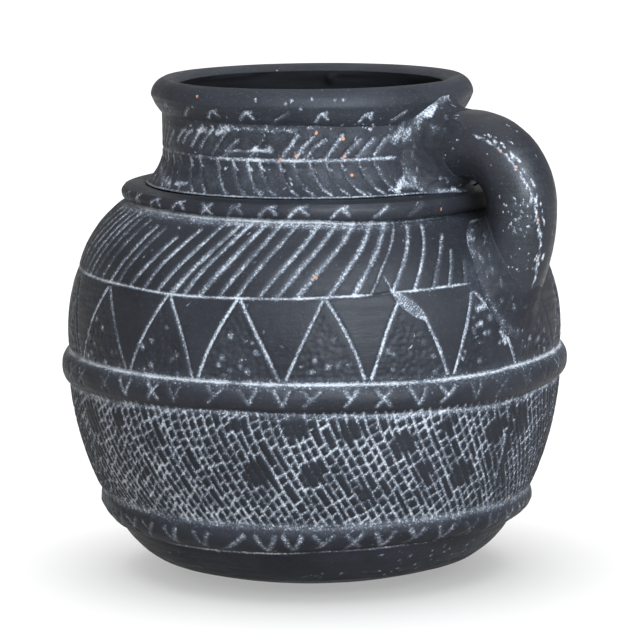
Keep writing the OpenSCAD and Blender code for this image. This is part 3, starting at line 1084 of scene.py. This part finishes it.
def wall_place(angle, length):
    """Where a point of the wall lies, given its angle and its length along the outer face."""
    height = face_height(length)
    radius = face_radius(height)
    at_rest = place(angle, radius, height)
    up = np.array([stray(np.array([a]), np.array([h]))[0] for a, h in zip(angle, height)])
    return place(angle, radius + wobble(at_rest), height + up)


def seat(name, node, at_neck, spread, climb, chalk, seed):
    """Soft clay smeared over a joint of coil and wall: a hollow fillet all round the coil.

    It runs `spread` mm out over the wall and `climb` mm up the coil.
    """
    skin = coil_points(COIL_R)
    first, last = coil_ends(skin, 0)
    root_row, way_along = (first, 1) if at_neck else (last, -1)
    root = skin[root_row, np.arange(COIL_COLUMNS)]
    angle = np.degrees(np.arctan2(root[:, 1], root[:, 0])) - FRONT
    length = face_length(root[:, 2])
    radius = np.hypot(root[:, 0], root[:, 1])
    middle_length = (length.min() + length.max()) / 2
    away = unit(np.column_stack([np.radians(angle - HANDLE) * radius, length - middle_length]))
    ragged = noise(root, 14, seed) + 0.5 * noise(root, 6, seed + 1)
    reach = spread * (1 + 0.25 * ragged)
    foot = wall_place(angle + np.degrees(reach * away[:, 0] / radius), length + reach * away[:, 1])
    rows_per_mm = 1 / COIL_STEP
    top = pick_rows(skin, root_row + way_along * rows_per_mm * climb * (1 + 0.2 * noise(root, 11, seed + 2)))
    lift = unit(foot * [1, 1, 0])
    control = 0.7 * root + 0.15 * (top + foot) + 0.6 * lift
    s = np.linspace(0, 1, 36)[:, None, None]
    fillet = (1 - s) ** 2 * top + 2 * s * (1 - s) * control + s ** 2 * foot
    normal = unit(np.cross(np.roll(fillet, -1, 1) - np.roll(fillet, 1, 1), np.gradient(fillet, axis=0)))
    normal *= np.sign((normal * (fillet - root)).sum(2).mean())
    arch = np.sin(np.pi * s[..., 0])
    rough = noise(fillet, 8, seed + 3) + 0.6 * noise(fillet, 3.5, seed + 4)
    rough = rough + 0.35 * noise(fillet, 1.8, seed + 5)
    fillet = fillet + (arch ** 0.6 * (0.3 + 0.55 * rough))[..., None] * normal
    fillet[0] -= 0.5 * normal[1]
    fillet[-1] -= 0.4 * lift
    inner = np.stack([foot - 2 * lift, root - 2.5 * lift, top - 1.5 * normal[1]])
    points = np.concatenate([fillet, inner])
    share = np.concatenate([s[:, 0, 0], [1, 0, 0]])[:, None]
    to_front = smoothstep(0.5, -0.3, away[:, 0])
    edge = smoothstep(0.6, 0.9, share) * to_front * (0.3 + 0.6 * np.abs(away[:, 1]))
    patchy = 0.85 + 0.7 * noise(points, 6, seed + 6) + 0.5 * noise(points, 2.2, seed + 7)
    scratchy = np.clip(1.9 * noise(points * [1, 1, 0.5], 1.9, seed + 8) - 0.35, 0, 1.0)
    middle = smoothstep(0.15, 0.35, share) * smoothstep(0.95, 0.75, share)
    pale = chalk * (edge * patchy + middle * scratchy * (0.35 + 0.5 * to_front))
    looks = {"chalk": np.clip(0.85 * pale, 0, 1.05), "haze": np.clip(1.1 * chalk * edge * patchy, 0, 1)}
    piece = build(name, points, looks=looks)
    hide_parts(node)
    return piece


def base():
    """The disc that the pot was raised on: flat below, with a thrown spiral inside."""
    top_r = OUTLINES["foot_wall"][:, 0].min()
    top = high("base")
    eye = 1.5
    outline = np.vstack([resample(np.array([[eye, 0], [BASE_R, 0]]), 2),
                         resample(np.array([[BASE_R, 0], [top_r, top]]), 3)[1:],
                         resample(np.array([[top_r, top], [eye, top]]), 1.5)[1:]])
    angle = even_angles(240)
    radius, height = outline[:, :1], outline[:, 1:]
    spiral = 0.35 * np.sin(2 * np.pi * (radius / 7 - angle / 360)) * (height > top - 0.1)
    fade = smoothstep(eye, 8, radius) * smoothstep(top_r, top_r - 4, radius)
    height = height + spiral * fade
    grid = place(angle, radius, height)
    grid = place(angle, radius + wobble(grid) * (radius > BASE_R - 3), height)
    none = np.zeros(spiral.shape)
    piece = build("base_disc", grid, closed=False, looks={"chalk": none, "haze": none + 0.1, "chip": none})
    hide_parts("base")
    return piece


# ---------------------------------------------------------------- camera, light and floor

POT_AZIMUTH = 90 + FRONT           # the camera goes round the pot by this much from the -Y side
CAMERA_LIFT = 8.52                 # degrees above level
CAMERA_FAR = 2.0                   # metres from its target
CAMERA_LENS, CAMERA_SENSOR = 225, 36       # mm
CAMERA_ROLL = -0.54                # degrees
TARGET_ASIDE, TARGET_HEIGHT = 0.00285, 0.1235      # metres, of the point the camera faces
LIGHTS_TARGET = Vector((0, 0, 0.13))       # what the soft boxes face


def aim(thing, azimuth, lift, far, target):
    """Puts a camera or light round the target at that azimuth, lift and distance, facing it."""
    a, e = math.radians(azimuth), math.radians(lift)
    back = Vector((math.sin(a) * math.cos(e), -math.cos(a) * math.cos(e), math.sin(e)))
    thing.location = target + far * back
    thing.rotation_euler = back.to_track_quat("Z", "Y").to_euler()


def camera():
    data = bpy.data.cameras.new("camera")
    data.lens = CAMERA_LENS
    data.sensor_width = CAMERA_SENSOR
    thing = add_object("camera", data)
    a = math.radians(POT_AZIMUTH)
    target = Vector((TARGET_ASIDE * math.cos(a), TARGET_ASIDE * math.sin(a), TARGET_HEIGHT))
    aim(thing, POT_AZIMUTH, CAMERA_LIFT, CAMERA_FAR, target)
    tilt = Matrix.Rotation(math.radians(CAMERA_ROLL), 4, "Z")
    thing.rotation_euler = (thing.rotation_euler.to_matrix().to_4x4() @ tilt).to_euler()
    bpy.context.scene.camera = thing


def soft_box(name, azimuth, lift, far, width, height, power, tint=(1, 1, 1)):
    data = bpy.data.lights.new(name, "AREA")
    data.shape = "RECTANGLE"
    data.size, data.size_y = width, height
    data.energy = power
    data.color = tint
    thing = add_object(name, data)
    aim(thing, azimuth, lift, far, LIGHTS_TARGET)
    return thing


def sun(name, strength):
    data = bpy.data.lights.new(name, "SUN")
    data.energy = strength
    return add_object(name, data)


def lit_group(name, things):
    """A collection for a light to fall on, and on nothing else."""
    group = bpy.data.collections.new(name)
    for thing in things:
        group.objects.link(thing)
    return group


def surroundings():
    """A white world that lights the pot less than it shows behind it."""
    world = bpy.data.worlds.new("studio")
    bpy.context.scene.world = world
    world.use_nodes = True
    background = world.node_tree.nodes["Background"]
    background.inputs["Color"].default_value = (1, 1, 1, 1)
    seen = world.node_tree.nodes.new("ShaderNodeLightPath").outputs["Is Camera Ray"]
    level = world.node_tree.nodes.new("ShaderNodeMapRange")
    level.inputs["To Min"].default_value = 0.48      # what lights the pot
    level.inputs["To Max"].default_value = 1.0       # what shows behind it
    world.node_tree.links.new(seen, level.inputs["Value"])
    world.node_tree.links.new(level.outputs[0], background.inputs["Strength"])


def add_floor():
    """A round pale floor that reaches far past the camera's view."""
    sides, far = 96, 30
    mesh = bpy.data.meshes.new("floor")
    turn = np.radians(even_angles(sides))
    edge = [(far * math.cos(t), far * math.sin(t), 0) for t in turn]
    mesh.from_pydata(edge, [], [list(range(sides))])
    mesh.materials.append(floor_material())
    floor = add_object("floor", mesh)
    return floor


def studio(pieces):
    """Key and fill fall on the pot alone, and the wash on the floor alone, so that it stays white."""
    lit = lit_group("lit_by_key", pieces)
    surroundings()
    key = soft_box("key", POT_AZIMUTH + 20, 24, 1.7, 0.9, 1.0, 106, (0.8, 0.89, 1.0))
    key.light_linking.receiver_collection = lit
    fill = soft_box("fill", POT_AZIMUTH - 42, 24, 2.0, 1.0, 1.2, 12, (0.9, 0.95, 1.0))
    fill.light_linking.receiver_collection = lit
    soft_box("rear", POT_AZIMUTH + 180, 40, 2.0, 1.2, 1.2, 2.5)
    overhead = sun("overhead", 1.2)
    overhead.data.angle = math.radians(70)
    wash = sun("floor_wash", 1.25)
    wash.data.use_shadow = False
    wash.light_linking.receiver_collection = lit_group("lit_by_wash", [add_floor()])


# ---------------------------------------------------------------- the pot

def finish_piece(piece, material):
    piece.data.materials.append(material)
    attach(piece, "root")
    return piece


def pot():
    smooth = clay("black_clay_rubbed", film=0.8, gloss=0.42, shine=0.2, relief=0.8)
    foot = clay("black_clay_foot", film=0.8, shine=0.08, tone=1.1)
    incised = clay("black_clay_incised")
    rolled = clay("black_clay_rolled", dusty=0.26)
    hatched = clay("black_clay_hatched", gloss=0.55, shine=0.1, tone=0.75)
    luted = clay("black_clay_smeared", specks=0.03, gloss=0.6, shine=0.1)
    marks = level_marks() + shoulder_strokes() + zigzag() + scar() + pecks() + pressed_marks()
    marks += neck_strokes() + net() + stains() + knocks()
    spans = {}
    for node in RINGS:
        bottom, top = face_length(low(node) - 4), face_length(high(node) + 4)
        spans[node] = [m for m in marks if m.path[:, 1].max() > bottom and m.path[:, 1].min() < top]
    lumps = {"lower_band": 0.8, "belly_band": 0.4, "collar_band": 0.4, "rim": 0.3}
    fine = {"foot_wall": 1.2, "neck": 0.75}
    coarse = {"hatched_wall": 6.5, "neck": 1.6, "rim": 1.2}
    pieces = []
    finishes = {"foot_wall": foot, "lower_band": foot, "hatched_wall": hatched, "rim": rolled}
    for node in RINGS:
        piece = ring(node, spans[node], fine.get(node, 0.72), coarse.get(node, 4.0), lumps.get(node, 0.12),
                     calm if node == "hatched_wall" else None)
        pieces.append(finish_piece(piece, finishes.get(node, incised)))
    pieces.append(finish_piece(base(), foot))
    pieces.append(finish_piece(handle(), smooth))
    for settings in (("upper_luting", "handle_upper_seat", True, 10, 19, 0.8, 51),
                     ("lower_luting", "handle_lower_seat", False, 9, 15, 0.55, 61)):
        pieces.append(finish_piece(seat(*settings), luted))
    return pieces


camera()
studio(pot())
bpy.context.scene.view_settings.view_transform = "Standard"
